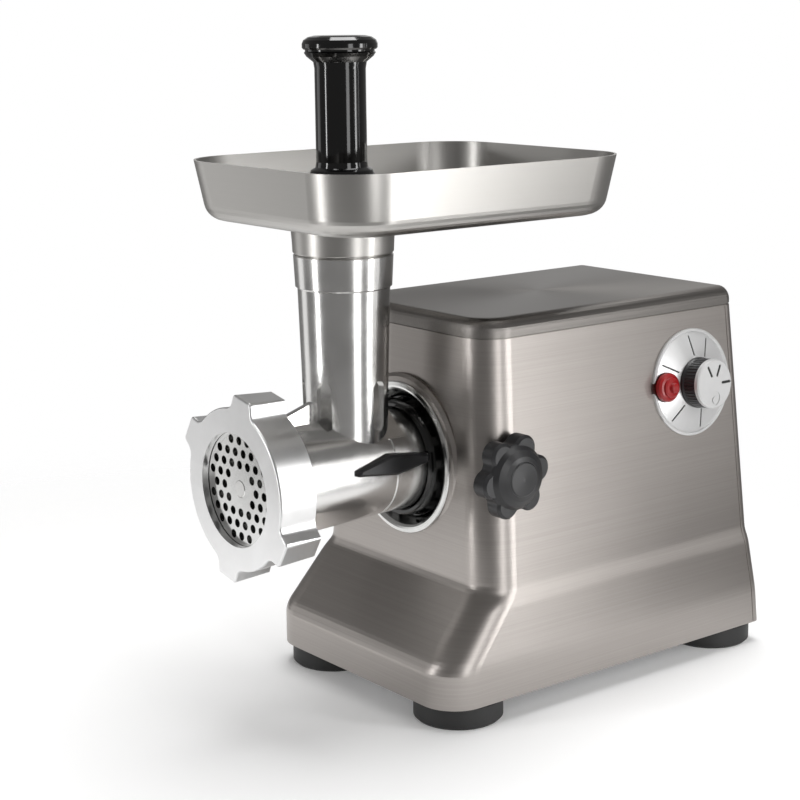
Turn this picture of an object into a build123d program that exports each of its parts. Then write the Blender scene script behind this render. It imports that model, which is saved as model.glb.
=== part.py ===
from build123d import *
import os
from math import atan2, cos, degrees, hypot, pi, radians, sin, sqrt, tan

os.makedirs("parts", exist_ok=True)

# ---------------------------------------------------------------- driving sizes (mm)
# Frame: origin on the ground under the centre of the base, +Z up, -Y the grinding end,
# +X the side with the clamp knob and the dial.
WALL = 1.2                 # sheet of the housing
# housing outline levels: height, half width, front y, back y, front radius, back radius
FOOT_H = 13.6
LEVELS = (
    (FOOT_H, 88.5, -132.0, 132.0, 22.4, 6.0),
    (36.7, 88.5, -132.0, 129.2, 22.4, 6.0),
    (69.6, 85.6, -103.3, 124.4, 21.2, 6.0),
    (76.4, 83.3, -97.4, 123.4, 21.0, 6.0),
    (221.8, 70.0, -89.9, 117.0, 20.0, 5.5),
)
CREASE = 4.5               # height over which a crease of the housing is rounded, each way
BACK_SEAM = 7.0            # from the rear face to the groove beside it
LIP_W = 6.5                # flange turned in under the housing
BASE_T = 2.5               # base plate
COVER_H = 11.4             # height of the top cover
COVER_R, COVER_FRONT, COVER_BACK = 8.4, 5.4, 4.6    # how far its sides, front and back round over
COVER_SEAM = 0.9           # shadow gap under the cover
FOOT_R = 26.5
FOOT_X, FOOT_YF, FOOT_YB = 61.5, -103.0, 111.0

AX_Z = 143.0               # height of the auger axis
TUBE_Y = -136.0            # feed tube axis
TUBE_TOP = 270.0
TUBE_BORE = 21.5
SPIGOT_R = TUBE_BORE + 4.5  # bore at the top of the tube, which takes the tray's collar
BARREL_BORE = 24.6
NECK_R = 30.3
NECK_END = -62.0
PLATE_R = 35.0             # bore that takes the grinding plate
THREAD_R = PLATE_R + 7.0
RUN = 0.05                 # radial clearance of a running fit
GAP = 0.4                  # gap between pieces that only pass each other

NUT_FRONT, NUT_BACK = -215.0, -190.5
NUT_OPEN_R, NUT_R, LUG_R = PLATE_R - 2.0, THREAD_R + 5.0, THREAD_R + 13.0
LUGS = (79, 149, 259, 329)
NUT_TAPER = 3.5

SOCKET_FRONT = -88.0       # where the collar meets the socket
COLLAR_FRONT = -100.4
COLLAR_BORE = NECK_R + 0.6
COLLAR_R = NECK_R + 6.3
SOCKET_R = NECK_R + 5.2
FLANGE_R, FLANGE_SCREWS_R = NECK_R + 13.7, NECK_R + 9.7
BEZEL_R = COLLAR_R + 7.2
BEZEL_LIP_R, HALO_R = BEZEL_R + 2.6, BEZEL_R + 7.2
CLAMP_NUT_AT = BEZEL_R + 0.9
CLAMP_Y, CLAMP_Z = -83.0, AX_Z + 3.0
STUD_R = 4.0
CLAMP_KNOB_R, CLAMP_KNOB_T = 24.8, 11.4

TRAY_FLOOR = TUBE_TOP + 17.5
TRAY_H, TRAY_T = 34.8, 1.4
TRAY_FLAT = (69.0, -182.0, 3.0, 22.0)      # flat floor: half width, front y, back y, corner radius
TRAY_RIM = (84.5, -197.0, 18.0, 34.0)
TRAY_ROUND, TRAY_BEND = 11.3, 80.0         # round between floor and wall, degrees it turns
PUSHER_H = 114.4           # top of the pusher's stem above the tube, under its cap

# gear train: two spur stages between the motor and the auger
M1, PIN1, GEAR1 = 0.9, 12, 72
M2, PIN2, GEAR2 = 1.35, 12, 66
MOTOR_Z = AX_Z - 53.0
BACKLASH = 0.22
CENTRE1 = M1 * (PIN1 + GEAR1) / 2
CENTRE2 = M2 * (PIN2 + GEAR2) / 2
SPAN = AX_Z - MOTOR_Z
DROP = (CENTRE2**2 - CENTRE1**2 + SPAN**2) / (2 * SPAN)
MID_X, MID_Z = -sqrt(CENTRE2**2 - DROP**2), AX_Z - DROP
CASE_FRONT, CASE_BACK, CASE_COVER = -60.0, -29.0, -24.0

STATOR_R, ROTOR_R = 42.0, 24.0
STATOR_Y0, STATOR_Y1 = -6.0, 44.0
MOTOR_END = 88.0

DIAL_Y, DIAL_Z, DIAL_R = 75.5, 177.5, 33.4
DIAL_RISE = 6.0
TICKS = (62, 94, 152, 228, 280, 338)
KNOB_R, KNOB_TOP, KNOB_CAP_H = 15.2, 17.4, 3.0
BUTTON_DY, BUTTON_R = -24.6, 8.8


# ---------------------------------------------------------------- helpers
def cyl_y(r, y0, y1, x=0.0, z=AX_Z):
    return Pos(x, (y0 + y1) / 2, z) * Rot(90, 0, 0) * Cylinder(r, y1 - y0)


def cyl_x(r, x0, x1, y, z):
    return Pos((x0 + x1) / 2, y, z) * Rot(0, 90, 0) * Cylinder(r, x1 - x0)


def cyl_z(r, z0, z1, x=0.0, y=0.0):
    return Pos(x, y, (z0 + z1) / 2) * Cylinder(r, z1 - z0)


def block(x0, x1, y0, y1, z0, z1):
    return Pos((x0 + x1) / 2, (y0 + y1) / 2, (z0 + z1) / 2) * Box(x1 - x0, y1 - y0, z1 - z0)


def turned_y(points, x=0.0, z=AX_Z):
    """Revolve (radius, y) points about a line along Y."""
    face = make_face(Polyline(*[(r, y) for r, y in points], close=True))
    return Pos(x, 0, z) * revolve(face, Axis.Y, 360)


def plate_x(points, x, thick):
    """Slab of a (y, z above the auger axis) outline, `thick` mm towards +X from x."""
    plane = Plane(origin=(x, 0, AX_Z), x_dir=(0, 1, 0), z_dir=(1, 0, 0))
    return extrude(plane * make_face(Polyline(*points, close=True)), thick)


def turned_z(points, x=0.0, y=0.0):
    """Revolve (radius, z) points about an upright line."""
    face = make_face(Polyline(*[(r, 0, z) for r, z in points], close=True))
    return Pos(x, y, 0) * revolve(face, Axis.Z, 360)


def along_y(face, y0, y1, x=0.0, z=AX_Z):
    """Extrude a face drawn as (x, z) from y0 to y1."""
    return Pos(x, y1, z) * Rot(90, 0, 0) * extrude(face, y1 - y0)


def outline(z, w, yf, yb, rf, rb, inset=0.0):
    """Closed rounded rectangle at one height, as a wire."""
    w, yf, yb = w - inset, yf + inset, yb - inset
    rf, rb = max(rf - inset, 0.6), max(rb - inset, 0.6)
    corners = (
        (w - rf, yf + rf, rf, -90), (w - rb, yb - rb, rb, 0),
        (rb - w, yb - rb, rb, 90), (rf - w, yf + rf, rf, 180),
    )
    edges = []
    for i, (cx, cy, r, a) in enumerate(corners):
        nx, ny, nr, na = corners[(i + 1) % 4]
        at = lambda b: (cx + r * cos(radians(b)), cy + r * sin(radians(b)), z)
        start = (nx + nr * cos(radians(na)), ny + nr * sin(radians(na)), z)
        edges += [Edge.make_three_point_arc(at(a), at(a + 45), at(a + 90)),
                  Edge.make_line(at(a + 90), start)]
    return Wire(edges)


def prism(levels, inset=0.0):
    """Straight-sided solid through rounded rectangles."""
    return Solid.make_loft([outline(*level, inset=inset) for level in levels], ruled=True)


def softened(levels):
    """The same levels with each crease rounded over CREASE mm of height both ways."""
    def between(a, b, t):
        return tuple(p + (q - p) * t for p, q in zip(a, b))

    out = [levels[0]]
    for low, mid, high in zip(levels, levels[1:], levels[2:]):
        below, above = mid[0] - low[0], high[0] - mid[0]
        reach = min(CREASE, 0.45 * below, 0.45 * above)
        start, end = between(mid, low, reach / below), between(mid, high, reach / above)
        for k in range(6):
            t = k / 5
            out.append(between(between(start, mid, t), between(mid, end, t), t))
    return out + [levels[-1]]


def level_at(z):
    """The housing outline at any height."""
    for low, high in zip(LEVELS, LEVELS[1:]):
        if low[0] <= z <= high[0]:
            t = (z - low[0]) / (high[0] - low[0])
            return tuple(a + (b - a) * t for a, b in zip(low, high))


def leaning(i, sign):
    """Height-wise slope of one side of the upper body: outward normal's tilt in radians."""
    low, high = LEVELS[-2:]
    return atan2(sign * (low[i] - high[i]), high[0] - low[0])


SIDE_TILT = leaning(1, 1)
BACK_TILT = leaning(3, 1)


def side_plane(y, z):
    """Plane on the +X wall: local x along +Y, local y up the wall, local z outward."""
    return Plane(origin=(level_at(z)[1], y, z), x_dir=(0, 1, 0),
                 z_dir=(cos(SIDE_TILT), 0, sin(SIDE_TILT)))


def back_plane(x, z):
    """Plane on the rear wall: local x along -X, local y up the wall, local z outward."""
    return Plane(origin=(x, level_at(z)[3], z), x_dir=(-1, 0, 0),
                 z_dir=(0, cos(BACK_TILT), sin(BACK_TILT)))


def gear_face(teeth, module, turn=0.0, addendum=0.9, dedendum=1.3):
    """Involute spur gear outline; a tooth is centred at angle `turn` in degrees."""
    pitch, press = module * teeth / 2, radians(20)
    base, tip, root = pitch * cos(press), pitch + addendum * module, pitch - dedendum * module
    half = pi / (2 * teeth) - BACKLASH / 4 / pitch
    inv = tan(press) - press

    def flank(r):
        a = sqrt(max((r / base) ** 2 - 1, 0.0))
        return half + inv - (a - atan2(a, 1))

    low = max(base, root)
    radii = (low, (low + tip) / 2, tip)
    edges = []
    for i in range(teeth):
        mid = radians(turn) + 2 * pi * i / teeth
        at = lambda r, a: (r * cos(mid + a), r * sin(mid + a))
        right = [at(r, -flank(r)) for r in radii]
        left = [at(r, flank(r)) for r in radii]
        foot_r, foot_l = at(root, -flank(low)), at(root, flank(low))
        gap_end = 2 * pi / teeth - flank(low)
        if root < base:
            edges.append(Edge.make_line(foot_r, right[0]))
        edges.append(Edge.make_three_point_arc(*right))
        edges.append(Edge.make_three_point_arc(right[-1], at(tip, 0), left[-1]))
        edges.append(Edge.make_three_point_arc(*left[::-1]))
        if root < base:
            edges.append(Edge.make_line(left[0], foot_l))
        edges.append(Edge.make_three_point_arc(foot_l, at(root, pi / teeth), at(root, gap_end)))
    return Face(Wire(edges))


def fasteners(places, r, head_r, length, head_h):
    """Screws pointing along local -Z of each place, heads on local +Z."""
    screws = []
    for place in places:
        body = Pos(0, 0, -length / 2) * Cylinder(r, length)
        head = Pos(0, 0, head_h / 2) * Cylinder(head_r, head_h)
        slot = Pos(0, 0, head_h) * (Box(head_r * 1.3, 0.8, 1.2) + Box(0.8, head_r * 1.3, 1.2))
        screws.append(place * (body + head - slot))
    return screws


def save(name, shape):
    solids = shape if isinstance(shape, (list, tuple)) else [shape]
    solids = [s for item in solids for s in item.solids()]
    shape = solids[0] if len(solids) == 1 else Compound(children=solids)
    export_step(shape, f"parts/{name}.step")


# ---------------------------------------------------------------- housing
SOFT = softened(LEVELS)
OUTER = prism(SOFT)
SIDE_DIAL = side_plane(DIAL_Y, DIAL_Z)
BACK = back_plane(0, 140)
BACK_HOLE = (112, 104)
BACK_PLATE = (126, 118)
PANEL_T = 2.5
INLET_AT = (30.0, -36.0)
INLET = (28.0, 20.0)
PINS = ((-7, -1.5), (7, -1.5), (0, 2.5))


def housing_shell():
    lip = prism(((FOOT_H,) + LEVELS[0][1:], (FOOT_H + WALL,) + LEVELS[0][1:]), inset=0.3)
    lip -= prism(((FOOT_H - 1,) + LEVELS[0][1:], (FOOT_H + 3,) + LEVELS[0][1:]), inset=LIP_W)
    shell = OUTER - prism(SOFT, inset=WALL) + lip
    front = level_at(AX_Z)[2]
    halo = turned_y([(BEZEL_R + 0.1, front - 2.0), (HALO_R - 2, front - 1.2), (HALO_R, front + 0.6),
                     (HALO_R, front + 6.0), (BEZEL_R + 0.1, front + 6.0)])
    shell += halo - prism(SOFT, inset=WALL / 2)
    shell -= cyl_y(BEZEL_R + 0.1, -140, SOCKET_FRONT + 12)
    shell -= cyl_x(6.0, 50, 100, CLAMP_Y, CLAMP_Z)
    shell -= SIDE_DIAL * Cylinder(4.0, 12)
    shell -= SIDE_DIAL * Pos(BUTTON_DY, 0, 0) * Cylinder(6.0 + GAP, 12)
    shell -= BACK * Box(BACK_HOLE[0], BACK_HOLE[1], 12)
    for u in (-1, 1):
        for v in (-1, 1):
            shell -= BACK * Pos(u * (BACK_PLATE[0] / 2 - 3.5), v * (BACK_PLATE[1] / 2 - 3.5), 0) \
                * Cylinder(1.6, 12)
    rear = [(yb - BACK_SEAM, z - AX_Z) for z, w, yf, yb, rf, rb in LEVELS]
    groove = plate_x(rear + [(y - 0.6, z) for y, z in reversed(rear)], -100, 200)
    return shell - (groove - prism(SOFT, inset=0.45))


def cover_levels(start, wall=0.0):
    """Outlines of the cover: upright for a few mm, then rounding over to the flat top."""
    z0, w, yf, yb, rf, rb = LEVELS[-1]
    side, levels = COVER_R - wall, [(start, w, yf, yb, rf, rb)]
    for k in range(9):
        t = radians(90 * k / 8)
        s = 1 - cos(t)
        levels.append((z0 + COVER_H - COVER_R + side * sin(t), w - side * s, yf + COVER_FRONT * s,
                       yb - COVER_BACK * s, rf - COVER_FRONT * s, max(rb - COVER_BACK * s, 1.0)))
    return levels


def top_cover():
    z0 = LEVELS[-1][0]
    skin = prism(cover_levels(z0 + COVER_SEAM)) - prism(cover_levels(z0 - 1, WALL), inset=WALL)
    low, high = level_at(z0 - 7), (z0 + 2.6,) + LEVELS[-1][1:]
    rim = prism((low, LEVELS[-1]), inset=WALL + 0.05) - prism((low, LEVELS[-1]), inset=2.2 * WALL)
    tie = prism((LEVELS[-1], high), inset=0.9) - prism((LEVELS[-1], high), inset=2.2 * WALL)
    return skin + tie + rim


def base_plate():
    z = FOOT_H + WALL
    plate = prism((level_at(z), level_at(z + BASE_T)), inset=WALL + 0.2)
    for x, y in FEET:
        plate -= cyl_z(2.6, z - 1, z + 4, x, y)
    for i in range(7):
        plate -= block(-20, 20, -60 + 9 * i, -56 + 9 * i, z - 1, z + 4)
    return plate


FEET = [(FOOT_X * s, y) for y in (FOOT_YF, FOOT_YB) for s in (-1, 1)]


def foot(x, y):
    rubber = turned_z([(0, 0.0), (FOOT_R - 1.6, 0.0), (FOOT_R, 1.6), (FOOT_R, FOOT_H - 1.0),
                       (FOOT_R - 1.0, FOOT_H), (14, FOOT_H), (14, FOOT_H + WALL), (0, FOOT_H + WALL)],
                      x, y)
    return rubber - cyl_z(6.5, -1, 7, x, y) - cyl_z(2.6, 0, 20, x, y)


def foot_screws():
    return fasteners([Pos(x, y, 7) * Rot(180, 0, 0) for x, y in FEET], 2.5, 5.2, 14, 3)


def rear_panel():
    w, h = BACK_PLATE
    plate = BACK * Pos(0, 0, PANEL_T / 2) * extrude(RectangleRounded(w, h, 6), PANEL_T / 2, both=True)
    plate += BACK * Pos(0, 0, -WALL / 2) * Box(BACK_HOLE[0] - 0.4, BACK_HOLE[1] - 0.4, WALL)
    for row in range(7):
        for col in (-1, 0, 1):
            slot = extrude(SlotOverall(28, 4), 10, both=True)
            plate -= BACK * Pos(col * 34, 46 - row * 8, 0) * slot
    plate -= BACK * Pos(INLET_AT[0], INLET_AT[1], 0) * Box(INLET[0], INLET[1], 20)
    for u in (-1, 1):
        for v in (-1, 1):
            plate -= BACK * Pos(u * (w / 2 - 3.5), v * (h / 2 - 3.5), 0) * Cylinder(1.6, 12)
    return plate


def panel_screws():
    w, h = BACK_PLATE
    places = [BACK * Pos(u * (w / 2 - 3.5), v * (h / 2 - 3.5), PANEL_T) for u in (-1, 1) for v in (-1, 1)]
    return fasteners(places, 1.5, 3.0, 8, 1.6)


def inlet_place():
    return BACK * Pos(INLET_AT[0], INLET_AT[1], 0)


def mains_inlet():
    w, h = INLET
    body = Pos(0, 0, -7) * Box(w, h, 24) + Pos(0, 0, PANEL_T + 1.25) * Box(w + 6, h + 6, 2.5)
    body -= Pos(0, 0, -4) * Box(w - 4, h - 4, 20)
    for u, v in PINS:
        body -= Pos(u, v, -16) * Box(2, 4, 8)
    return inlet_place() * body


def inlet_pins():
    return [inlet_place() * Pos(u, v, -13.5) * Box(2, 4, 25) for u, v in PINS]


def socket_bezel():
    """Dished ring round the socket, with a lip lying on the housing's face."""
    front = level_at(AX_Z)[2] - 3.4
    dish = turned_y([(COLLAR_R + GAP, SOCKET_FRONT), (COLLAR_R + GAP, SOCKET_FRONT - 1.0),
                     (COLLAR_R + 1.8, SOCKET_FRONT - 3.4), (BEZEL_R - 2.6, front + 1.4),
                     (BEZEL_R - 1.2, front + 0.3),
                     (BEZEL_R, front), (BEZEL_R, SOCKET_FRONT)])
    lip = turned_y([(BEZEL_R, front), (BEZEL_LIP_R - 0.6, front + 0.3), (BEZEL_LIP_R, front + 0.9),
                    (BEZEL_LIP_R, front + 8), (BEZEL_R, front + 8)])
    return dish + (lip - SHELL - OUTER)


def socket_collar():
    r0, r1 = COLLAR_BORE, COLLAR_R
    ring = turned_y([(r0, COLLAR_FRONT + 0.8), (r0 + 0.8, COLLAR_FRONT), (r1 - 3.2, COLLAR_FRONT),
                     (r1 - 2.4, COLLAR_FRONT + 0.8), (r1 - 1.7, COLLAR_FRONT + 3.2),
                     (r1, SOCKET_FRONT - 2), (r1, SOCKET_FRONT), (r0, SOCKET_FRONT)])
    for i in range(16):
        box = Pos(0, 0, r1 + 0.6) * Box(8.6, 5.6, 5.0)
        ring -= Pos(0, COLLAR_FRONT + 6.6, AX_Z) * Rot(0, 22.5 * i + 8, 0) * box
    return ring


def flange_spots():
    """Where the socket's flange is screwed to the gearbox, as (x, z)."""
    return [(FLANGE_SCREWS_R * cos(radians(a)), AX_Z + FLANGE_SCREWS_R * sin(radians(a)))
            for a in range(30, 390, 60)]


def head_socket():
    tube = turned_y([(NECK_R + RUN, SOCKET_FRONT), (SOCKET_R, SOCKET_FRONT),
                     (SOCKET_R, CASE_FRONT - 4), (FLANGE_R, CASE_FRONT - 4), (FLANGE_R, CASE_FRONT),
                     (NECK_R + RUN, CASE_FRONT)])
    boss = cyl_x(7.4, 20, 60, CLAMP_Y, CLAMP_Z) - cyl_y(SOCKET_R - 0.5, -95, -55)
    tube += boss - cyl_y(BEZEL_R + GAP, -100, SOCKET_FRONT)
    tube -= cyl_x(STUD_R + RUN, 20, 70, CLAMP_Y, CLAMP_Z)
    tube -= cyl_x(6.0, CLAMP_NUT_AT, 70, CLAMP_Y, CLAMP_Z)
    for x, z in flange_spots():
        tube -= cyl_y(2.1, CASE_FRONT - 8, CASE_FRONT + 2, x, z)
    return tube


def clamp_nut():
    return cyl_x(6.0, CLAMP_NUT_AT, 60, CLAMP_Y, CLAMP_Z) \
        - cyl_x(STUD_R + RUN, 30, 70, CLAMP_Y, CLAMP_Z)


# ---------------------------------------------------------------- gearbox
def case_face(grow):
    """Outline of the gearbox: a belt round the three shafts, as (x, z) from the auger axis."""
    rounds = ((0, 0, 50.5 + grow), (MID_X, MID_Z - AX_Z, 37.5 + grow), (0, -SPAN, 20 + grow))
    edges = [e for x, y, r in rounds for e in (Pos(x, y) * Circle(r)).edges()]
    return make_hull(edges)


def screw_spots():
    spots = [(53.5 * cos(radians(a)), AX_Z + 53.5 * sin(radians(a))) for a in (10, 60, 120, 165)]
    return spots + [(MID_X - 38.5 * cos(radians(25)), MID_Z - 38.5 * sin(radians(25))),
                    (23.0, MOTOR_Z - 3), (-12.0, MOTOR_Z - 20.5)]


def gearbox_case():
    case = along_y(case_face(3), CASE_FRONT, CASE_BACK)
    case -= along_y(case_face(0), CASE_FRONT + 4, CASE_BACK + 1)
    for x, z in screw_spots():
        case += cyl_y(4.2, CASE_FRONT, CASE_BACK, x, z)
    case -= cyl_y(17.0, CASE_FRONT - 1, CASE_FRONT + 6)
    case += cyl_y(11.0, CASE_FRONT, CASE_FRONT + 5, MID_X, MID_Z)
    case -= cyl_y(8.0, CASE_FRONT - 1, CASE_FRONT + 6, MID_X, MID_Z)
    for x, z in screw_spots():
        case -= cyl_y(1.7, CASE_BACK - 14, CASE_BACK + 1, x, z)
    for x, z in flange_spots():
        case -= cyl_y(2.1, CASE_FRONT - 1, CASE_FRONT + 5, x, z)
    return case


def gearbox_cover():
    cover = along_y(case_face(3), CASE_BACK, CASE_COVER)
    for x, z in screw_spots():
        cover += cyl_y(4.2, CASE_BACK, CASE_COVER, x, z)
        cover -= cyl_y(1.7, CASE_BACK - 1, CASE_COVER + 1, x, z)
    for x, z in ((0, AX_Z), (MID_X, MID_Z)):
        cover += cyl_y(12.0, CASE_BACK - 3, CASE_COVER, x, z)
        cover -= cyl_y(9.0, CASE_BACK - 6, CASE_COVER + 1, x, z)
    return cover - cyl_y(7.6, CASE_BACK - 2, CASE_COVER + 1, 0, MOTOR_Z)


def gearbox_screws():
    cover = [Pos(x, CASE_COVER, z) * Rot(-90, 0, 0) for x, z in screw_spots()]
    flange = [Pos(x, CASE_FRONT - 4, z) * Rot(90, 0, 0) for x, z in flange_spots()]
    return fasteners(cover, 1.6, 3.0, 17, 1.8) + fasteners(flange, 2.0, 3.4, 8, 2.2)


def output_bearing():
    return cyl_y(17.0, CASE_FRONT - 1, CASE_FRONT + 6.5) - cyl_y(13 + RUN, -70, -50)


def shaft_bushes():
    def bush(r_in, r_out, y0, y1, x, z):
        return cyl_y(r_out, y0, y1, x, z) - cyl_y(r_in + RUN, y0 - 1, y1 + 1, x, z)

    return [bush(6, 9, CASE_BACK - 3, CASE_COVER, 0, AX_Z),
            bush(5, 9, CASE_BACK - 3, CASE_COVER, MID_X, MID_Z),
            bush(5, 8, CASE_FRONT, CASE_FRONT + 5, MID_X, MID_Z)]


TO_MID = degrees(atan2(MID_Z - AX_Z, MID_X))
TO_MOTOR = degrees(atan2(MOTOR_Z - MID_Z, -MID_X))


def output_gear():
    face = gear_face(GEAR2, M2, TO_MID)
    gear = along_y(face, -52, -41)
    gear -= cyl_y(36, -53, -49.5) - cyl_y(20, -53, -49)
    gear -= cyl_y(36, -43.5, -40) - cyl_y(16, -44, -39)
    for a in range(0, 360, 60):
        gear -= cyl_y(6.5, -60, -30, 28 * cos(radians(a)), AX_Z + 28 * sin(radians(a)))
    return gear - cyl_y(10, -60, -30)


def drive_shaft():
    shaft = cyl_y(13, -60.6, -52) + cyl_y(10, -52, -40) + cyl_y(6, -40, CASE_COVER)
    shaft += cyl_y(8.5, -40, CASE_BACK - 3.4)
    socket = Pos(0, -54, AX_Z) * Box(12.8, 16, 12.8)
    return shaft - socket


def intermediate_shaft():
    pinion = along_y(gear_face(PIN2, M2, TO_MID + 180 + 180 / PIN2), -54.2, -40, MID_X, MID_Z)
    return pinion + cyl_y(5, CASE_FRONT + 0.5, CASE_COVER, MID_X, MID_Z)


def intermediate_gear():
    gear = along_y(gear_face(GEAR1, M1, TO_MOTOR), -39, -33.5, MID_X, MID_Z)
    gear += cyl_y(10, -40, -33, MID_X, MID_Z)
    for a in range(0, 360, 60):
        gear -= cyl_y(6, -60, -30, MID_X + 20 * cos(radians(a)), MID_Z + 20 * sin(radians(a)))
    return gear - cyl_y(5, -60, -20, MID_X, MID_Z)


# ---------------------------------------------------------------- motor
def rotor_shaft():
    pinion = along_y(gear_face(PIN1, M1, TO_MOTOR + 180 + 180 / PIN1), -40, -32, 0, MOTOR_Z)
    shaft = cyl_y(4, -33, MOTOR_END + 2, 0, MOTOR_Z)
    return pinion + shaft


def rotor_core():
    core = cyl_y(ROTOR_R, STATOR_Y0 + 1, STATOR_Y1 - 1, 0, MOTOR_Z)
    for i in range(12):
        slot = Pos(0, 0, ROTOR_R) * Box(2.2, 60, 5) + Pos(0, 0, ROTOR_R - 6.5) * Box(4.5, 60, 8)
        core -= Pos(0, 19, MOTOR_Z) * Rot(0, 30 * i, 0) * slot
    return core - cyl_y(4, -20, 60, 0, MOTOR_Z)


def rotor_windings():
    def ring(y0, y1):
        return cyl_y(20, y0, y1, 0, MOTOR_Z) - cyl_y(4, y0 - 1, y1 + 1, 0, MOTOR_Z)

    return [ring(STATOR_Y0 - 4, STATOR_Y0 + 1), ring(STATOR_Y1 - 1, STATOR_Y1 + 4.5)]


def commutator():
    drum = cyl_y(13, 57, 72, 0, MOTOR_Z) + cyl_y(5.4, 48.5, 57, 0, MOTOR_Z)
    for i in range(24):
        drum -= Pos(0, 64, MOTOR_Z) * Rot(0, 15 * i, 0) * Pos(0, 0, 13) * Box(0.6, 17, 1.2)
    return drum - cyl_y(4, 40, 80, 0, MOTOR_Z)


def cooling_fan():
    fan = cyl_y(9, 73, 81, 0, MOTOR_Z) + cyl_y(34, 79.5, 81, 0, MOTOR_Z)
    for i in range(11):
        fan += Pos(0, 77, MOTOR_Z) * Rot(0, 360 / 11 * i, 0) * Pos(0, 0, 21) * Rot(0, 0, 20) \
            * Box(1.2, 6.5, 25)
    fan = fan & cyl_y(34, 70, 82, 0, MOTOR_Z)
    return fan - cyl_y(4, 60, 90, 0, MOTOR_Z)


def motor_stator():
    core = cyl_y(STATOR_R, STATOR_Y0, STATOR_Y1, 0, MOTOR_Z)
    core -= cyl_y(ROTOR_R + 0.5, -50, 90, 0, MOTOR_Z)
    for s in (-1, 1):
        core -= Pos(s * 28, 19, MOTOR_Z) * Box(13, 80, 32)
    return core


def field_coils():
    ring = Box(66, 73.5, 9) - Box(50, 61, 20)
    return [Pos(0, 19.25, MOTOR_Z + s * 10.5) * ring for s in (-1, 1)]


def motor_bracket(front):
    y0, y1, wall0, wall1 = (CASE_COVER, CASE_COVER + 4, CASE_COVER + 4, STATOR_Y0 + 6) if front \
        else (MOTOR_END - 4, MOTOR_END, STATOR_Y1 - 6, MOTOR_END - 4)
    plate = cyl_y(STATOR_R + 3, y0, y1, 0, MOTOR_Z)
    wall = cyl_y(STATOR_R + 3, wall0, wall1, 0, MOTOR_Z) \
        - cyl_y(STATOR_R, wall0 - 1, wall1 + 1, 0, MOTOR_Z)
    out = plate + wall
    boss0, boss1 = (CASE_COVER, CASE_COVER + 6) if front else (MOTOR_END - 6, MOTOR_END)
    out += cyl_y(11, boss0, boss1, 0, MOTOR_Z)
    for i in range(6):
        a = radians(60 * i + 30)
        out -= cyl_y(8, y0 - 1, y1 + 1, 28 * cos(a), MOTOR_Z + 28 * sin(a))
    for x in (-3, 3):
        out -= cyl_y(3.2, y0 - 3, y1 + 3, 39 * (x / 3) * 0.97, MOTOR_Z + 10)
    out -= cyl_y(8, y0 - 10, y1 + 10, 0, MOTOR_Z)
    if front:
        for x, z in screw_spots():
            out -= cyl_y(3.6, y0 - 1, y0 + 2.4, x, z)
        return out
    for s in (-1, 1):
        out -= Pos(s * 43, 64, MOTOR_Z) * Box(10, 10.4, 10.4)
    return out


def motor_bearings():
    return [cyl_y(8, y0, y1, 0, MOTOR_Z) - cyl_y(4 + RUN, y0 - 1, y1 + 1, 0, MOTOR_Z)
            for y0, y1 in ((CASE_COVER, CASE_COVER + 6), (MOTOR_END - 6, MOTOR_END))]


def brush_holders():
    return [Pos(s * 31, 64, MOTOR_Z) * (Box(30, 10.4, 10.4) - Box(31, 6.4, 6.4)) for s in (-1, 1)]


def carbon_brushes():
    return [Pos(s * 23.4, 64, MOTOR_Z) * Box(20, 6.4, 6.4) for s in (-1, 1)]


def motor_cradle():
    z0 = FOOT_H + WALL + BASE_T
    cradle = block(-26, 26, 4, 34, z0, MOTOR_Z - 30)
    return cradle - cyl_y(STATOR_R, 0, 40, 0, MOTOR_Z) - block(-18, 18, 0, 40, z0 + 4, z0 + 22)


def control_board():
    z0 = FOOT_H + WALL + BASE_T
    board = block(-80, -42, -10, 70, z0 + 5, z0 + 6.6)
    for x in (-76, -46):
        for y in (-6, 66):
            board += cyl_z(2.5, z0, z0 + 5, x, y)
    board += block(-74, -58, 0, 18, z0 + 6.6, z0 + 20) + block(-72, -52, 30, 50, z0 + 6.6, z0 + 14)
    return board + cyl_z(6, z0 + 6.6, z0 + 26, -64, 60)


# ---------------------------------------------------------------- dial and switches
def speed_switch():
    body = Pos(0, 0, -WALL - 9) * Box(30, 34, 18) - Pos(0, 0, -WALL) * Cylinder(3.0 + RUN, 24)
    return SIDE_DIAL * body


def reverse_switch():
    depth = 18.0
    body = Pos(BUTTON_DY, 0, -WALL - depth / 2) * Box(14, 24, depth)
    body -= Pos(BUTTON_DY, 0, -WALL) * Cylinder(6.0 + GAP, 12)
    return SIDE_DIAL * body


def dial_plate():
    edge = DIAL_R - 2.2
    plate = turned_z([(0, 0), (DIAL_R, 0), (DIAL_R, 1.4), (DIAL_R - 0.6, 1.9), (DIAL_R - 1.6, 1.9),
                      (edge, 1.3), (KNOB_R, DIAL_RISE), (0, DIAL_RISE)])
    slope = atan2(DIAL_RISE - 1.3, edge - KNOB_R)
    for a in TICKS:
        middle = (edge + KNOB_R) / 2
        height = 1.3 + (edge - middle) * tan(slope)
        mark = Rot(0, 0, a) * Pos(middle, 0, height) * Rot(0, degrees(slope), 0)
        plate -= mark * Box(edge - KNOB_R - 3.0, 1.1, 1.8)
    plate -= Cylinder(3.0 + GAP, 30)
    plate -= Pos(BUTTON_DY, 0, 0) * Cylinder(BUTTON_R + GAP, 30)
    return SIDE_DIAL * plate


def speed_spindle():
    return SIDE_DIAL * Pos(0, 0, -2.4) * Cylinder(3.0, 20.8)


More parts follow.
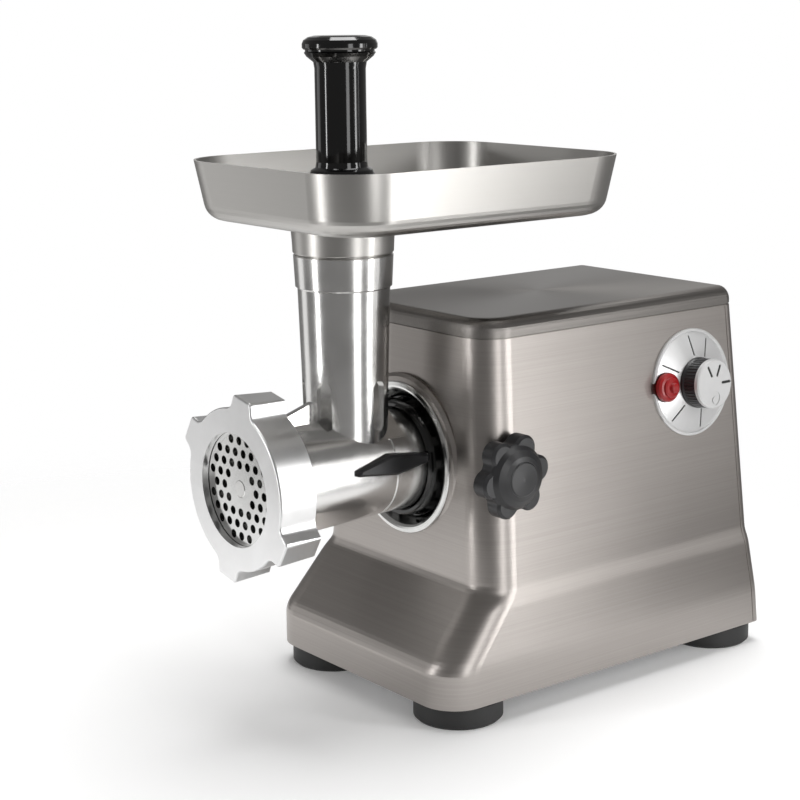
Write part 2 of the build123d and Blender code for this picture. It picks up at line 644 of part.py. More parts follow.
def speed_knob():
    body = turned_z([(0, 6.4), (KNOB_R + 0.5, 6.4), (KNOB_R + 0.5, 8.0), (KNOB_R, 8.7),
                     (KNOB_R, KNOB_TOP), (0, KNOB_TOP)])
    for i in range(44):
        body -= Rot(0, 0, 360 / 44 * i) * Pos(KNOB_R + 0.2, 0, 14) * Rot(0, 0, 45) * Box(0.9, 0.9, 9.6)
    return SIDE_DIAL * (body - Pos(0, 0, 6.4) * Cylinder(3.0, 3.2))


def speed_knob_cap():
    """Bright cap of the knob, with a V, a bar and a drop pressed into its face."""
    top = KNOB_TOP + KNOB_CAP_H
    cap = turned_z([(0, KNOB_TOP), (KNOB_R, KNOB_TOP), (KNOB_R, top - 0.8), (KNOB_R - 0.8, top),
                    (0, top)])
    bar = extrude(SlotOverall(8.0, 1.7), 1.2, both=True)
    marks = Pos(10.0, 0, top) * bar
    for a in (64, 116):
        marks += Rot(0, 0, a) * Pos(8.6, 0, top) * bar
    drop = make_face([Spline((0, -4.5), (-3.4, -10.6), (0, -13.2), (3.4, -10.6), (0, -4.5))])
    inner = Pos(0, -0.2) * scale(drop, by=0.99) & (Pos(0, -10.2) * Circle(2.3))
    marks += Pos(0, 0, top) * extrude(drop - inner, 0.6, both=True)
    return SIDE_DIAL * (cap - marks)


def reverse_button():
    profile = [(0, -3.2), (6.0, -3.2), (6.0, 3.0), (BUTTON_R, 3.0), (BUTTON_R, 5.6), (BUTTON_R - 1.2, 6.8),
               (6.3, 7.2), (6.1, 8.4), (5.3, 9.1), (3.4, 9.3), (2.9, 11.4), (1.8, 12.2), (0, 12.2)]
    return SIDE_DIAL * Pos(BUTTON_DY, 0, 0) * turned_z(profile)


# ---------------------------------------------------------------- clamp knob
KNOB_BACK = level_at(CLAMP_Z - CLAMP_KNOB_R)[1] + GAP      # just clear of the leaning wall
KNOB_FRONT = KNOB_BACK + CLAMP_KNOB_T


def clamp_knob():
    lobe_r = 8.0
    face = Circle(19.4)
    for i in range(6):
        face += Rot(0, 0, 60 * i + 38) * Pos(CLAMP_KNOB_R - lobe_r, 0) * Circle(lobe_r)
    face = fillet(face.vertices(), 3.0)
    body = extrude(face, KNOB_FRONT - KNOB_BACK)
    rim = body.edges().filter_by(Plane.XY)
    body = chamfer(rim, 1.6)
    h = KNOB_FRONT - KNOB_BACK
    dome = turned_z([(0, h - 0.5), (19.0, h - 0.5), (16.5, h + 2.6), (13.0, h + 4.6), (10.6, h + 5.4),
                     (0, h + 5.4)])
    body += dome
    body -= Pos(0, 0, h + 5.4) * Cylinder(10.3, 4.0)
    body -= Cylinder(STUD_R, 16)
    return Pos(KNOB_BACK, CLAMP_Y, CLAMP_Z) * Rot(0, 90, 0) * body


def clamp_knob_cap():
    h = KNOB_FRONT - KNOB_BACK + 3.4
    cap = turned_z([(0, h), (10.25, h), (10.25, h + 2.2), (9.4, h + 2.7), (0, h + 3.1)])
    return Pos(KNOB_BACK, CLAMP_Y, CLAMP_Z) * Rot(0, 90, 0) * cap


def clamp_stud():
    return cyl_x(STUD_R, NECK_R + 6.1, KNOB_BACK + 8, CLAMP_Y, CLAMP_Z)


def clamp_shoe():
    pad = cyl_x(STUD_R, NECK_R - 2.3, NECK_R + 5.7, CLAMP_Y, CLAMP_Z)
    return pad - cyl_y(NECK_R + 0.35, -100, -70)


# ---------------------------------------------------------------- grinding head
def head_outside():
    body = turned_y([(0, -209.5), (THREAD_R - 1, -209.5), (THREAD_R, -208.5), (THREAD_R, -193.5),
                     (37.0, -190.8), (33.2, -188.0), (30.4, -123.0), (29.7, -122.4), (29.7, -121.6),
                     (NECK_R, -121.0), (NECK_R, NECK_END + 1), (NECK_R - 1, NECK_END), (0, NECK_END)])
    roof = make_face(Polyline((-23.5, 19.5), (-9.5, 33.0), (9.5, 33.0), (23.5, 19.5), close=True))
    body += along_y(roof, -192, -112)
    for s in (-1, 1):
        flat = Pos(s * 50, -157, AX_Z - 50) * Rot(0, s * 45, 0) * Box(80, 62, 84.6)
        body -= flat & block(-60, 60, -188, -124, 60, AX_Z)
    b = TUBE_BORE
    tube = turned_z([(0, AX_Z), (b + 2.9, AX_Z), (b + 3.1, AX_Z + 29), (b + 3.7, AX_Z + 57),
                     (b + 5.2, TUBE_TOP - 19.6), (b + 6.4, TUBE_TOP - 18.6), (b + 7.3, TUBE_TOP - 0.8),
                     (b + 6.5, TUBE_TOP), (0, TUBE_TOP)], 0, TUBE_Y)
    return body + tube


POCKETS = (24, 104, -24, -104)


def head_casting():
    head = head_outside()
    for a in POCKETS:
        cut = extrude(SlotOverall(30, 9.5, rotation=90), 6)
        place = Pos(0, TUBE_Y, AX_Z + 40) * Rot(0, 0, a) * Pos(0, -TUBE_BORE - 1.2, 0) * Rot(90, 0, 0)
        head -= place * cut
    head += plate_x(((-190, 31), (-190, 33.5), (-160.6, 43.0), (-158, 43.0), (-158, 31)), -2.2, 4.4)
    head -= cyl_y(BARREL_BORE, -200, NECK_END - 8)
    head -= cyl_y(PLATE_R, -220, -197)
    head -= cyl_y(11.0 + RUN, -80, -50)
    head -= cyl_z(TUBE_BORE - 2.0, AX_Z, AX_Z + 37, 0, TUBE_Y)
    head -= cyl_z(TUBE_BORE, AX_Z + 33, TUBE_TOP + 30, 0, TUBE_Y)
    head -= cyl_z(SPIGOT_R, TUBE_TOP - 14, TUBE_TOP + 30, 0, TUBE_Y)
    return head


def neck_fin():
    points = ((-152.5, 3.6), (-151.6, 7.4), (-128.6, 12.8), (-101.4, 9.6), (-101.4, 4.6), (-124.0, 0.4))
    fin = plate_x(points, 25, 10.0)
    fin = chamfer(fin.faces().sort_by(Axis.X)[-1].edges(), 1.4)
    return fin - HEAD_SOLID


def auger():
    core = turned_y([(0, -210.9), (4.6, -210.9), (5.0, -210.5), (5.0, -204.0), (0, -204.0)])
    core += Pos(0, -201.2, AX_Z) * Box(10, 6.4, 10)
    core += turned_y([(0, -198), (10, -198), (12, -190), (15.5, -84), (18, -80), (18, -71.6),
                      (11, -71.6), (11, -63), (0, -63)])
    core += Pos(0, -56, AX_Z) * Box(12, 15, 12)
    pitch, turns = 27.0, 3.6
    path = Helix(pitch, pitch * turns, 17)
    plane = Plane(origin=path @ 0, x_dir=(1, 0, 0), z_dir=path % 0)
    section = plane * make_face(Polyline((-7, -2.6), (6.9, -1.2), (6.9, 1.2), (-7, 2.6), close=True))
    flight = sweep(section, path, is_frenet=True)
    flight = Pos(0, -92, AX_Z) * Rot(90, 0, 0) * flight
    flight = flight & cyl_y(23.9, -193.5, -78)
    return core + flight


def auger_washer():
    return cyl_y(16, -71.6, -70.4) - cyl_y(11, -80, -60)


def knife():
    blades, tip = cyl_y(9, -204.4, -198), PLATE_R - 3.5
    for a in range(0, 360, 90):
        shape = make_face(Polyline((0, -5.5), (tip - 0.5, -3.0), (tip, 2.5), (0, 5.5), close=True))
        blades += Pos(0, -198.6, AX_Z) * Rot(90, 0, 0) * Rot(0, 0, a + 20) * extrude(shape, 5.8)
    return blades - Pos(0, -201, AX_Z) * Box(10, 12, 10)


def grinding_plate():
    plate = cyl_y(PLATE_R - RUN, -210.6, -204.8) - cyl_y(5 + RUN, -220, -200)
    pitch, hole = 8.0, 2.5
    for i in range(-5, 6):
        for j in range(-5, 6):
            x, z = pitch * (i + j / 2), pitch * j * sqrt(3) / 2
            if 9.0 < hypot(x, z) < PLATE_R - 4.5:
                plate -= cyl_y(hole, -220, -200, x, AX_Z + z)
    return plate


def ring_nut():
    """Threaded ring with four finger lugs; its outline tapers towards the back."""
    face = Circle(NUT_R)
    for a in LUGS:
        lug = make_face(Polyline((30, -14.5), (LUG_R, -8.5), (LUG_R, 8.5), (30, 14.5), close=True))
        face += Rot(0, 0, -a) * lug
    face = fillet(face.vertices().filter_by(lambda v: hypot(v.X, v.Y) > NUT_R + 2), 2.6)
    face = fillet(face.vertices().filter_by(lambda v: hypot(v.X, v.Y) < NUT_R + 1), 6.0)
    body = extrude(face, NUT_BACK - NUT_FRONT, taper=NUT_TAPER)
    body = fillet(body.faces().sort_by(Axis.Z)[0].edges(), 1.2)
    body = Pos(0, NUT_FRONT, AX_Z) * Rot(-90, 0, 0) * body
    body -= cyl_y(THREAD_R + RUN, -211.0, -180)
    return body - cyl_y(NUT_OPEN_R, -220, -180)


# ---------------------------------------------------------------- tray and pusher
def tray_form(wall=0.0, over=0.0):
    """Flat floor, a round edge and a leaning wall; `wall` gives the face that far inside."""
    w, yf, yb, r = TRAY_FLAT
    levels = []
    for k in range(9):
        t = radians(TRAY_BEND * k / 8)
        s = (TRAY_ROUND - wall) * sin(t)
        z = TRAY_FLOOR + TRAY_ROUND - (TRAY_ROUND - wall) * cos(t)
        levels.append((z, w + s, yf - s, yb + s, r + s))
    w, yf, yb, r = TRAY_RIM
    levels.append((TRAY_FLOOR + TRAY_H + over, w - wall, yf + wall, yb - wall, r - wall))
    return Solid.make_loft([outline(z, w, yf, yb, r, r) for z, w, yf, yb, r in levels], ruled=True)


def tray():
    pan = tray_form() - tray_form(TRAY_T, over=0.01)
    b, seat = TUBE_BORE, SPIGOT_R - RUN
    collar = turned_z([(b, TUBE_TOP - 14), (seat, TUBE_TOP - 14), (seat, TUBE_TOP + GAP),
                       (b + 6.9, TUBE_TOP + GAP), (b + 7.6, TUBE_TOP + 1.2), (b + 7.9, TUBE_TOP + 8),
                       (b + 8.7, TRAY_FLOOR + 0.5), (b, TRAY_FLOOR + 0.5)], 0, TUBE_Y)
    return pan + collar - cyl_z(TUBE_BORE, TUBE_TOP - 20, TUBE_TOP + 30, 0, TUBE_Y)


def pusher():
    """Hollow plunger standing in the tube; radii and heights from the tube's bore and top."""
    r = TUBE_BORE - 0.5
    body = turned_z([(0, -93.6), (r - 1.4, -93.6), (r, -92), (r, 40), (r - 0.8, 43), (r - 2.8, 45.6),
                     (r - 3.4, 47.4), (15.0, 49.0), (14.5, 52), (14.5, 104), (15.1, 107.5), (18.9, 110.6),
                     (20.2, 112.6), (19.6, 113.4), (19.6, PUSHER_H), (0, PUSHER_H)])
    return Pos(0, TUBE_Y, TUBE_TOP) * (body - cyl_z(11.5, -88, PUSHER_H))


def pusher_cap():
    h = PUSHER_H
    cap = turned_z([(0, h), (20.4, h), (21.3, h + 1.0), (21.3, h + 3.2), (20.4, h + 5.2), (18.0, h + 6.8),
                    (14.5, h + 7.6), (0, h + 7.6)])
    return Pos(0, TUBE_Y, TUBE_TOP) * (cap + cyl_z(11.4, h - 6.4, h))


# ---------------------------------------------------------------- write the pieces
SHELL = housing_shell()
HEAD_SOLID = head_outside()

PIECES = {
    "housing_shell": SHELL,
    "top_cover": top_cover(),
    "base_plate": base_plate(),
    "foot_front_left": foot(*FEET[0]),
    "foot_front_right": foot(*FEET[1]),
    "foot_rear_left": foot(*FEET[2]),
    "foot_rear_right": foot(*FEET[3]),
    "foot_screws": foot_screws(),
    "rear_panel": rear_panel(),
    "panel_screws": panel_screws(),
    "mains_inlet": mains_inlet(),
    "inlet_pins": inlet_pins(),
    "socket_bezel": socket_bezel(),
    "socket_collar": socket_collar(),
    "head_socket": head_socket(),
    "clamp_nut": clamp_nut(),
    "gearbox_case": gearbox_case(),
    "gearbox_cover": gearbox_cover(),
    "gearbox_screws": gearbox_screws(),
    "output_bearing": output_bearing(),
    "shaft_bushes": shaft_bushes(),
    "output_gear": output_gear(),
    "drive_shaft": drive_shaft(),
    "intermediate_gear": intermediate_gear(),
    "intermediate_shaft": intermediate_shaft(),
    "rotor_shaft": rotor_shaft(),
    "rotor_core": rotor_core(),
    "rotor_windings": rotor_windings(),
    "commutator": commutator(),
    "cooling_fan": cooling_fan(),
    "motor_stator": motor_stator(),
    "field_coils": field_coils(),
    "motor_front_bracket": motor_bracket(True),
    "motor_rear_bracket": motor_bracket(False),
    "motor_bearings": motor_bearings(),
    "brush_holders": brush_holders(),
    "carbon_brushes": carbon_brushes(),
    "motor_cradle": motor_cradle(),
    "control_board": control_board(),
    "speed_switch": speed_switch(),
    "reverse_switch": reverse_switch(),
    "dial_plate": dial_plate(),
    "speed_spindle": speed_spindle(),
    "speed_knob": speed_knob(),
    "speed_knob_cap": speed_knob_cap(),
    "reverse_button": reverse_button(),
    "clamp_knob": clamp_knob(),
    "clamp_knob_cap": clamp_knob_cap(),
    "clamp_stud": clamp_stud(),
    "clamp_shoe": clamp_shoe(),
    "head_casting": head_casting(),
    "neck_fin": neck_fin(),
    "auger": auger(),
    "auger_washer": auger_washer(),
    "knife": knife(),
    "grinding_plate": grinding_plate(),
    "ring_nut": ring_nut(),
    "tray": tray(),
    "pusher": pusher(),
    "pusher_cap": pusher_cap(),
}
for name, shape in PIECES.items():
    save(name, shape)
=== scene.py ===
from math import atan, cos, pi, radians, sin

import bmesh
import bpy
from mathutils import Matrix, Vector


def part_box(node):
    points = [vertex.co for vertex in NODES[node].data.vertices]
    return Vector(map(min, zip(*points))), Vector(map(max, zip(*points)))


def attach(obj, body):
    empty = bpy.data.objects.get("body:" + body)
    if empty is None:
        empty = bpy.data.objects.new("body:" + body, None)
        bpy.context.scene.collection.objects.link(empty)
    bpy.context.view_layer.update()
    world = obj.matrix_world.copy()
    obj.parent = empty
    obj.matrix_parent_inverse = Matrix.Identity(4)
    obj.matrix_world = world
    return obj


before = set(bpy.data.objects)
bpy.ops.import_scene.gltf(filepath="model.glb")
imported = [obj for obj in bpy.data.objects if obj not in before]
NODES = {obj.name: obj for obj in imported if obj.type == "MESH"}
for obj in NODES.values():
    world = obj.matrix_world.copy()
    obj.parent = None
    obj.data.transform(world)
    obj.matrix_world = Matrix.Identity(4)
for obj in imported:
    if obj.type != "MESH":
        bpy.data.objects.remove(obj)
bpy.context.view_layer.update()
scene = bpy.context.scene


NOISE_LOW, NOISE_HIGH = 0.3, 0.7    # part of the noise's range that carries most of it
EDGE_ANGLE = radians(28)            # edges sharper than this are softened


# ------------------------------------------------------------------ node helpers
def new_material(name):
    mat = bpy.data.materials.new(name)
    mat.use_nodes = True
    nt = mat.node_tree
    return mat, nt, nt.nodes["Principled BSDF"]


def node(nt, kind, **values):
    made = nt.nodes.new(kind)
    for key, value in values.items():
        if key in made.inputs:
            made.inputs[key].default_value = value
        else:
            setattr(made, key, value)
    return made


def coords(nt, scale):
    tex = node(nt, "ShaderNodeTexCoord")
    mapping = node(nt, "ShaderNodeMapping")
    mapping.inputs["Scale"].default_value = scale
    nt.links.new(tex.outputs["Object"], mapping.inputs["Vector"])
    return mapping.outputs["Vector"]


def noise(nt, vector, scale=1.0, detail=4.0, rough=0.6):
    made = node(nt, "ShaderNodeTexNoise", Scale=scale, Detail=detail, Roughness=rough)
    nt.links.new(vector, made.inputs["Vector"])
    return made.outputs["Fac"]


def spread(nt, fac, low, high):
    made = node(nt, "ShaderNodeMapRange")
    made.inputs["From Min"].default_value = NOISE_LOW
    made.inputs["From Max"].default_value = NOISE_HIGH
    made.inputs["To Min"].default_value = low
    made.inputs["To Max"].default_value = high
    nt.links.new(fac, made.inputs["Value"])
    return made.outputs["Result"]


def mix_colour(nt, fac, a, b):
    ramp = node(nt, "ShaderNodeValToRGB")
    first, last = ramp.color_ramp.elements
    first.position, last.position = NOISE_LOW, NOISE_HIGH
    first.color, last.color = (*a, 1), (*b, 1)
    nt.links.new(fac, ramp.inputs["Fac"])
    return ramp.outputs["Color"]


def bump(nt, bsdf, height, strength, distance):
    made = node(nt, "ShaderNodeBump", Strength=strength, Distance=distance)
    nt.links.new(height, made.inputs["Height"])
    nt.links.new(made.outputs["Normal"], bsdf.inputs["Normal"])


# ------------------------------------------------------------------ materials
def brushed(name, dark, light, rough, scale, depth=0.00002, aniso=0.5, smudge=6.0):
    """Brushed sheet metal; scale is small along the brushing."""
    mat, nt, bsdf = new_material(name)
    lines = noise(nt, coords(nt, scale), 1.0, 6.0, 0.75)
    cloud = noise(nt, coords(nt, (smudge, smudge, smudge)), 1.0, 3.0, 0.5)
    both = node(nt, "ShaderNodeMix", data_type="FLOAT")
    both.inputs[0].default_value = 0.35
    nt.links.new(lines, both.inputs[2])
    nt.links.new(cloud, both.inputs[3])
    nt.links.new(mix_colour(nt, both.outputs[0], dark, light), bsdf.inputs["Base Color"])
    nt.links.new(spread(nt, both.outputs[0], rough - 0.02, rough + 0.03), bsdf.inputs["Roughness"])
    bsdf.inputs["Metallic"].default_value = 1.0
    bsdf.inputs["Anisotropic"].default_value = aniso
    bump(nt, bsdf, lines, 0.35, depth)
    return mat


def cast(name, dark, light, rough, grain=900.0, depth=0.00003, coat=0.0):
    """Cast or polished metal with a fine skin."""
    mat, nt, bsdf = new_material(name)
    fine = noise(nt, coords(nt, (grain, grain, grain)), 1.0, 4.0, 0.6)
    cloud = noise(nt, coords(nt, (35, 35, 35)), 1.0, 4.0, 0.55)
    nt.links.new(mix_colour(nt, cloud, dark, light), bsdf.inputs["Base Color"])
    nt.links.new(spread(nt, cloud, rough - 0.025, rough + 0.035), bsdf.inputs["Roughness"])
    bsdf.inputs["Metallic"].default_value = 1.0
    bsdf.inputs["Coat Weight"].default_value = coat
    bump(nt, bsdf, fine, 0.35, depth)
    return mat


def moulded(name, dark, light, rough, grain=1400.0, depth=0.00004, coat=0.0, spec=0.5, metal=0.0):
    """Moulded plastic or rubber."""
    mat, nt, bsdf = new_material(name)
    fine = noise(nt, coords(nt, (grain, grain, grain)), 1.0, 3.0, 0.6)
    cloud = noise(nt, coords(nt, (28, 28, 28)), 1.0, 4.0, 0.6)
    nt.links.new(mix_colour(nt, cloud, dark, light), bsdf.inputs["Base Color"])
    nt.links.new(spread(nt, cloud, rough - 0.03, rough + 0.05), bsdf.inputs["Roughness"])
    bsdf.inputs["Metallic"].default_value = metal
    bsdf.inputs["Coat Weight"].default_value = coat
    bsdf.inputs["Coat Roughness"].default_value = 0.05
    bsdf.inputs["Specular IOR Level"].default_value = spec
    bump(nt, bsdf, fine, 0.3, depth)
    return mat


M = {
    "housing": brushed("housing_brushed", (0.34, 0.315, 0.297), (0.42, 0.392, 0.372), 0.31, (5, 5, 1500)),
    "cover": brushed("cover_brushed", (0.21, 0.198, 0.188), (0.28, 0.265, 0.25), 0.36, (1500, 5, 600)),
    "tray": brushed("tray_brushed", (0.48, 0.47, 0.45), (0.51, 0.497, 0.478), 0.29, (3, 3, 2200),
                    0.000008),
    "cast": cast("cast_satin", (0.70, 0.695, 0.685), (0.77, 0.765, 0.755), 0.20),
    "nut": cast("nut_satin", (0.78, 0.78, 0.78), (0.86, 0.86, 0.86), 0.30, 1200.0),
    "bright": cast("bright_ring", (0.62, 0.62, 0.61), (0.76, 0.76, 0.75), 0.16),
    "steel": cast("machined_steel", (0.36, 0.36, 0.37), (0.52, 0.52, 0.53), 0.32, 500.0),
    "raw": cast("raw_casting", (0.42, 0.42, 0.42), (0.58, 0.58, 0.58), 0.45, 600.0, 0.0001),
    "brass": cast("brass_turned", (0.60, 0.42, 0.16), (0.80, 0.60, 0.27), 0.25, 700.0),
    "copper": cast("copper_winding", (0.40, 0.13, 0.05), (0.72, 0.30, 0.12), 0.35, 1500.0, 0.0002, 0.4),
    "gloss": moulded("gloss_black", (0.002, 0.002, 0.002), (0.004, 0.004, 0.004), 0.09, 300.0, 0.00001, 0.2),
    "matte": moulded("satin_black", (0.012, 0.012, 0.013), (0.024, 0.024, 0.026), 0.34, 1500.0, 0.00006),
    "panel": moulded("panel_black", (0.018, 0.018, 0.019), (0.032, 0.032, 0.034), 0.5, 900.0, 0.0001),
    "grey": moulded("grey_plastic", (0.20, 0.21, 0.22), (0.30, 0.31, 0.33), 0.45),
    "nylon": moulded("nylon", (0.62, 0.60, 0.52), (0.78, 0.76, 0.68), 0.4),
    "board": moulded("board_green", (0.01, 0.07, 0.03), (0.03, 0.14, 0.06), 0.35),
    "carbon": moulded("carbon", (0.01, 0.01, 0.01), (0.04, 0.04, 0.04), 0.6),
    "red": moulded("red_button", (0.26, 0.003, 0.005), (0.36, 0.007, 0.009), 0.34, 900.0, 0.00003, 0.1),
    "silver": moulded("silver_plate", (0.60, 0.60, 0.60), (0.70, 0.70, 0.70), 0.30, 1200.0, 0.00002,
                      0.2, 0.5, 0.35),
    "mark": moulded("mark_black", (0.010, 0.010, 0.010), (0.018, 0.018, 0.018), 0.45),
    "rubber": moulded("foot_rubber", (0.010, 0.010, 0.010), (0.022, 0.022, 0.022), 0.55, 700.0, 0.0001),
}
FINISH = {
    "housing": ("housing_shell",),
    "cover": ("top_cover",),
    "tray": ("tray",),
    "cast": ("head_casting", "auger"),
    "nut": ("ring_nut",),
    "bright": ("socket_bezel", "grinding_plate", "knife", "clamp_stud"),
    "steel": ("base_plate", "foot_screws", "panel_screws", "gearbox_screws", "drive_shaft",
              "intermediate_shaft", "rotor_shaft", "rotor_core", "motor_stator"),
    "raw": ("head_socket", "gearbox_case", "gearbox_cover", "motor_front_bracket", "motor_rear_bracket"),
    "brass": ("inlet_pins", "clamp_nut", "output_bearing", "shaft_bushes", "commutator",
              "motor_bearings", "clamp_shoe"),
    "copper": ("rotor_windings", "field_coils"),
    "gloss": ("socket_collar", "pusher", "pusher_cap"),
    "matte": ("speed_knob", "clamp_knob", "clamp_knob_cap", "neck_fin"),
    "panel": ("rear_panel", "mains_inlet"),
    "grey": ("cooling_fan", "brush_holders", "motor_cradle", "speed_switch", "reverse_switch",
             "speed_spindle"),
    "nylon": ("output_gear", "intermediate_gear", "auger_washer"),
    "board": ("control_board",),
    "carbon": ("carbon_brushes",),
    "red": ("reverse_button",),
    "silver": ("dial_plate", "speed_knob_cap"),
    "rubber": ("foot_front_left", "foot_front_right", "foot_rear_left", "foot_rear_right"),
}
BEVEL = {
    "tray": 0.0004, "head_casting": 0.0009,
    "clamp_knob": 0.0007, "reverse_button": 0.0004, "speed_knob_cap": 0.0003,
    "neck_fin": 0.0005, "socket_bezel": 0.0004, "socket_collar": 0.0003, "rear_panel": 0.0005,
}
for key, names in FINISH.items():
    for name in names:
        piece = NODES[name]
        piece.data.materials.clear()
        piece.data.materials.append(M[key])
for name, width in BEVEL.items():
    mod = NODES[name].modifiers.new("soft_edge", "BEVEL")
    mod.width, mod.segments, mod.limit_method = width, 2, "ANGLE"
    mod.angle_limit, mod.harden_normals = EDGE_ANGLE, True


# ------------------------------------------------------------------ dark fill of the dial's marks
def dial_frame():
    """Axes of the dial: along +Y, up the leaning wall, and straight out of it."""
    lo, hi = (Vector(c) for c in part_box("speed_spindle"))
    tilt = atan(WALL_LEAN)
    out = Vector((cos(tilt), 0, sin(tilt)))
    up = Vector((-sin(tilt), 0, cos(tilt)))
    origin = (lo + hi) / 2 + out * SPINDLE_MIDDLE
    return Matrix((
        (0, up.x, out.x, origin.x), (1, up.y, out.y, origin.y),
        (0, up.z, out.z, origin.z), (0, 0, 0, 1)))


def inlay(name, body, bars):
    """Thin round-ended bars: (angle, middle radius, height, slope, length, width)."""
    frame_of_dial = dial_frame()
    mesh = bmesh.new()
    for angle, radius, height, slope, length, width in bars:
        place = frame_of_dial @ Matrix.Rotation(radians(angle), 4, "Z") \
            @ Matrix.Translation((radius, 0, height)) @ Matrix.Rotation(slope, 4, "Y")
        ring = []
        for side in (1, -1):
            for k in range(END_STEPS + 1):
                a = pi / 2 - pi * k / END_STEPS
                x = side * (length / 2 - width / 2 + width / 2 * cos(a))
                ring.append(place @ Vector((x, side * width / 2 * sin(a), 0)))
        depth = place.to_3x3() @ Vector((0, 0, -MARK_DEPTH))
        top = [mesh.verts.new(v) for v in ring]
        bottom = [mesh.verts.new(v + depth) for v in ring]
        mesh.faces.new(top)
        mesh.faces.new(bottom[::-1])
        for i in range(len(ring)):
            j = (i + 1) % len(ring)
            mesh.faces.new((top[i], bottom[i], bottom[j], top[j]))
    bmesh.ops.recalc_face_normals(mesh, faces=mesh.faces)
    data = bpy.data.meshes.new(name)
    mesh.to_mesh(data)
    mesh.free()
    piece = bpy.data.objects.new(name, data)
    piece.data.materials.append(M["mark"])
    scene.collection.objects.link(piece)
    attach(piece, body)


WALL_LEAN = 13.3 / 145.4           # how much the side wall leans in over its height
SPINDLE_MIDDLE = 0.0024            # from the spindle's middle to the wall's outer face
PLATE_EDGE, PLATE_INNER = (0.0312, 0.0013), (0.0152, 0.0060)    # radius, height on the plate's cone
KNOB_FACE = 0.0204
MARK_DEPTH = 0.0003
END_STEPS = 6                      # sides of a bar's round end
TICKS = (62, 94, 152, 228, 280, 338)
TICK_LENGTH, TICK_WIDTH, TICK_SUNK = 0.0127, 0.0010, 0.00035
KNOB_BARS = ((0, 0.0100), (64, 0.0086), (116, 0.0086))         # angle, middle radius
BAR_LENGTH, BAR_WIDTH, BAR_SUNK = 0.0076, 0.0015, 0.0004
fall = atan((PLATE_INNER[1] - PLATE_EDGE[1]) / (PLATE_EDGE[0] - PLATE_INNER[0]))
middle = ((PLATE_EDGE[0] + PLATE_INNER[0]) / 2, (PLATE_EDGE[1] + PLATE_INNER[1]) / 2 - TICK_SUNK)
inlay("dial_ticks", "housing", [(a, *middle, fall, TICK_LENGTH, TICK_WIDTH) for a in TICKS])
inlay("knob_marks", "speed_dial",
      [(a, r, KNOB_FACE - BAR_SUNK, 0, BAR_LENGTH, BAR_WIDTH) for a, r in KNOB_BARS])


# ------------------------------------------------------------------ camera
def look(azimuth, elevation, roll, place, focal):
    """Camera at a place in metres, aimed by angles in degrees; focal length in millimetres."""
    a, e, r = radians(azimuth), radians(elevation), radians(roll)
    back = Vector((sin(a) * cos(e), -cos(a) * cos(e), sin(e)))
    right = Vector((cos(a), sin(a), 0))
    up = back.cross(right)
    x, y = right * cos(r) + up * sin(r), up * cos(r) - right * sin(r)
    cam = bpy.data.objects.new("camera", bpy.data.cameras.new("camera"))
    cam.matrix_world = Matrix((
        (x.x, y.x, back.x, place[0]), (x.y, y.y, back.y, place[1]),
        (x.z, y.z, back.z, place[2]), (0, 0, 0, 1)))
    cam.data.sensor_width, cam.data.lens = 36, focal
    cam.data.clip_start, cam.data.clip_end = 0.01, 50
    scene.collection.objects.link(cam)
    scene.camera = cam


look(azimuth=52.03, elevation=12.16, roll=-0.61, place=(0.83364, -0.74655, 0.40589), focal=81.61)


# ------------------------------------------------------------------ studio
def panel(name, azimuth, distance, height, size, radiance, target=(0, 0, 0.2), colour=(1, 1, 1)):
    """Area light at an azimuth from +X towards +Y; its power comes from its radiance."""
    data = bpy.data.lights.new(name, "AREA")
    data.shape, data.size, data.size_y = "RECTANGLE", size[0], size[1]
    data.energy, data.color = radiance * pi * size[0] * size[1], colour
    lamp = bpy.data.objects.new(name, data)
    a = radians(azimuth)
    lamp.location = (distance * cos(a), distance * sin(a), height)
    lamp.rotation_euler = (Vector(target) - lamp.location).to_track_quat("-Z", "Y").to_euler()
    scene.collection.objects.link(lamp)


FLOOR_R, FLOOR_AT = 0.8, (-0.1, -0.18, 0)
FADE_FROM, FADE_TO = 0.30, 0.62    # from the floor's middle


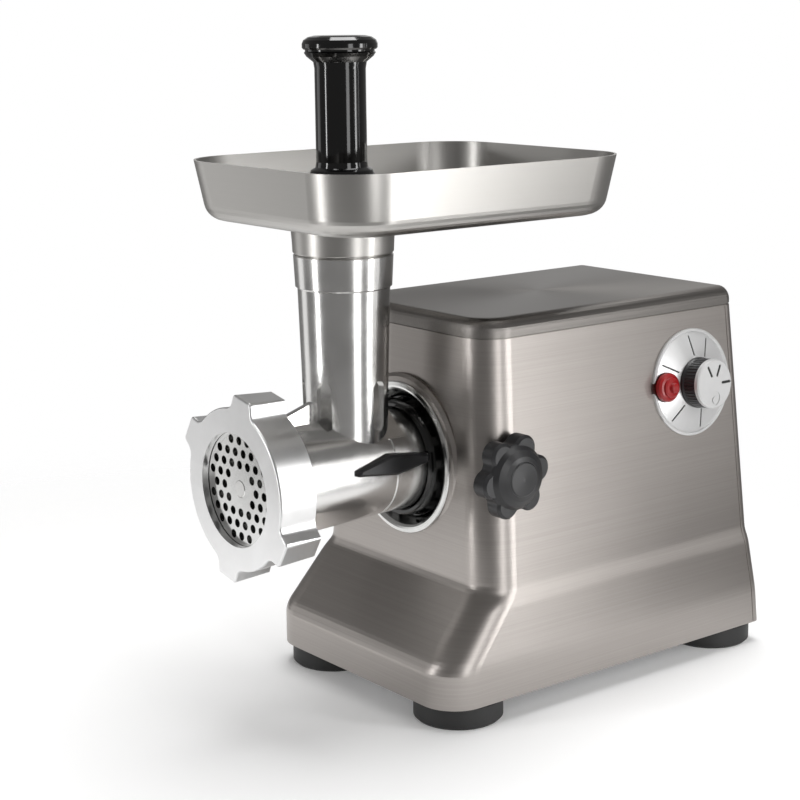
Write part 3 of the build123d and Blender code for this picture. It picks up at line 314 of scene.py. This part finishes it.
def studio_floor():
    """Pale floor that fades into the white surround before its edge."""
    bpy.ops.mesh.primitive_circle_add(vertices=96, radius=FLOOR_R, fill_type="NGON", location=FLOOR_AT)
    floor = bpy.context.object
    floor.name = "floor"
    mat, nt, bsdf = new_material("floor_white")
    bsdf.inputs["Base Color"].default_value = (0.96, 0.96, 0.96, 1)
    bsdf.inputs["Roughness"].default_value = 0.75
    bsdf.inputs["Specular IOR Level"].default_value = 0.25
    bsdf.inputs["Emission Color"].default_value = (1, 1, 1, 1)
    bsdf.inputs["Emission Strength"].default_value = 0.10
    tex = node(nt, "ShaderNodeTexCoord")
    away = node(nt, "ShaderNodeVectorMath", operation="LENGTH")
    nt.links.new(tex.outputs["Object"], away.inputs[0])
    fade = node(nt, "ShaderNodeMapRange", interpolation_type="SMOOTHSTEP")
    fade.inputs["From Min"].default_value = FADE_FROM
    fade.inputs["From Max"].default_value = FADE_TO
    nt.links.new(away.outputs["Value"], fade.inputs["Value"])
    clear = node(nt, "ShaderNodeBsdfTransparent")
    blend = node(nt, "ShaderNodeMixShader")
    nt.links.new(fade.outputs["Result"], blend.inputs["Fac"])
    nt.links.new(bsdf.outputs["BSDF"], blend.inputs[1])
    nt.links.new(clear.outputs["BSDF"], blend.inputs[2])
    nt.links.new(blend.outputs["Shader"], nt.nodes["Material Output"].inputs["Surface"])
    floor.data.materials.append(mat)


studio_floor()

panel("top_soft", 120, 0.25, 1.9, (1.2, 1.2), 6.5)
panel("front_strip", -103, 0.85, 0.26, (0.06, 0.7), 12.0)
panel("left_soft", -146, 0.95, 0.14, (0.34, 0.6), 0.8)
panel("right_strip", -13, 0.85, 0.24, (0.20, 0.7), 3.6)
panel("right_edge", 46, 0.95, 0.30, (0.06, 0.6), 2.0)
panel("corner_band", 17, 0.53, 0.20, (0.07, 0.50), 9.0, (0.08, -0.09, 0.14))
panel("near_side", 31, 0.55, 0.20, (0.06, 0.50), 1.5, (0.08, -0.08, 0.14), (1, 0.99, 0.98))
panel("back_soft", 139, 1.8, 0.62, (1.3, 0.8), 0.36)


def surround():
    """White behind the object, and a dim warm fill for everything that isn't seen by the camera."""
    world = bpy.data.worlds.new("studio")
    scene.world = world
    world.use_nodes = True
    wt = world.node_tree
    fill = wt.nodes["Background"]
    fill.inputs["Color"].default_value = (1, 0.985, 0.97, 1)
    fill.inputs["Strength"].default_value = 0.20
    plain = node(wt, "ShaderNodeBackground")
    plain.inputs["Color"].default_value = (1, 1, 1, 1)
    plain.inputs["Strength"].default_value = 1.0
    path = node(wt, "ShaderNodeLightPath")
    mixer = node(wt, "ShaderNodeMixShader")
    wt.links.new(path.outputs["Is Camera Ray"], mixer.inputs["Fac"])
    wt.links.new(fill.outputs["Background"], mixer.inputs[1])
    wt.links.new(plain.outputs["Background"], mixer.inputs[2])
    wt.links.new(mixer.outputs["Shader"], wt.nodes["World Output"].inputs["Surface"])


surround()
scene.view_settings.view_transform = "Standard"
